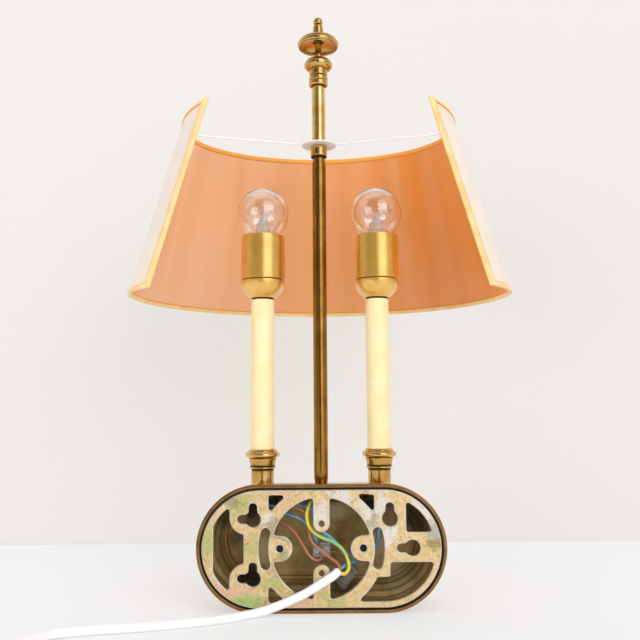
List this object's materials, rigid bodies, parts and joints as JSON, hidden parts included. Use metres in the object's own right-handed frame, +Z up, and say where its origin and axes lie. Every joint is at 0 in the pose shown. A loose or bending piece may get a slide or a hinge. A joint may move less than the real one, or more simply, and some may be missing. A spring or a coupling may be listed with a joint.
{
  "type": "wall lamp",
  "caption": "Oval brass wall lamp with a central stem, a half shade cut flat towards the wall, and candle-style lamp holders with clear round screw bulbs.",
  "frame": {"origin": "middle of the wall plate's back face, between the two tongue holes", "axes": "+Z up, +Y out of the plate's back into the wall, the lamp faces -Y; +X is the picture's left"},
  "size_m": [0.4115, 0.5391, 0.5142],
  "materials": {
    "polished_brass": "lacquered brass with worn lustre",
    "yellow_zinc": "yellow chromate zinc plate",
    "dark_steel": "dull oxidised steel",
    "zinc_steel": "bright zinc plate",
    "cream_sleeve": "cream, slightly waxy",
    "dark_ring": "matte black",
    "satin_gold": "satin gold plate",
    "porcelain": "unglazed porcelain",
    "contact_brass": "bare sheet brass",
    "clear_glass": "clear blown glass",
    "cap_aluminium": "bright pressed sheet",
    "black_glass": "black glass insulator",
    "filament_mount": "clear glass mount with wires",
    "white_wire": "white paint",
    "cream_cloth": "fine weave on card",
    "orange_lining": "smooth lining",
    "gold_tape": "woven edge tape",
    "clear_block": "clear moulded plastic",
    "blue_connector": "clear moulded plastic, bluish",
    "brown_insulation": "smooth",
    "blue_insulation": "smooth",
    "earth_insulation": "smooth, green and yellow stripes",
    "white_sheath": "smooth",
    "black_tie": "smooth",
    "white_plug": "fine matte"
  },
  "bodies": {
    "fixture": {"base_shell": "polished_brass", "wall_plate": "yellow_zinc", "plate_studs": "dark_steel", "cap_nuts": "polished_brass", "earth_lug": "zinc_steel", "base_washers": "zinc_steel", "base_nuts": "zinc_steel", "candle_cup_left": "polished_brass", "candle_cup_right": "polished_brass", "candle_tube_left": "zinc_steel", "candle_tube_right": "zinc_steel", "candle_sleeve_left": "cream_sleeve", "candle_sleeve_right": "cream_sleeve", "sleeve_ring_left": "dark_ring", "sleeve_ring_right": "dark_ring", "holder_cap_left": "satin_gold", "holder_cap_right": "satin_gold", "holder_shell_left": "satin_gold", "holder_shell_right": "satin_gold", "holder_insert_left": "porcelain", "holder_insert_right": "porcelain", "socket_thread_left": "contact_brass", "socket_thread_right": "contact_brass", "socket_contact_left": "contact_brass", "socket_contact_right": "contact_brass", "stem_tube": "polished_brass", "stem_rod": "zinc_steel", "shade_collar": "polished_brass", "terminal_block": "clear_block", "push_connector": "blue_connector", "brown_wires": "brown_insulation", "blue_wires": "blue_insulation", "earth_wire": "earth_insulation", "mains_cable": "white_sheath", "mains_cable_coil": "white_sheath", "coil_tie": "black_tie", "mains_plug": "white_plug", "plug_pins": "zinc_steel"},
    "shade": {"shade_carrier": "white_wire", "shade_wire": "white_wire", "shade_cover": "cream_cloth", "shade_lining": "orange_lining", "shade_tape": "gold_tape"},
    "finial": {"upper_tube": "polished_brass", "finial_ferrule": "polished_brass", "finial_bell": "polished_brass", "finial_saucer": "polished_brass", "finial_knob": "polished_brass", "finial_stud": "zinc_steel"},
    "bulb_left": {"bulb_glass_left": "clear_glass", "bulb_cap_left": "cap_aluminium", "bulb_insulator_left": "black_glass", "bulb_filament_left": "filament_mount"},
    "bulb_right": {"bulb_glass_right": "clear_glass", "bulb_cap_right": "cap_aluminium", "bulb_insulator_right": "black_glass", "bulb_filament_right": "filament_mount"}
  },
  "joints": [
    {"name": "shade_swivel", "type": "hinge", "parent": "fixture", "child": "shade", "pos_m": [0, -0.027, 0.344], "axis": [0, 0, 1], "continuous": true},
    {"name": "finial_unscrew", "type": "slide", "parent": "fixture", "child": "finial", "axis": [0, 0, 1], "range_m": [0, 0.012]},
    {"name": "bulb_left_lift", "type": "slide", "parent": "fixture", "child": "bulb_left", "axis": [0, 0, 1], "range_m": [0, 0.03]},
    {"name": "bulb_right_lift", "type": "slide", "parent": "fixture", "child": "bulb_right", "axis": [0, 0, 1], "range_m": [0, 0.03]}
  ]
}
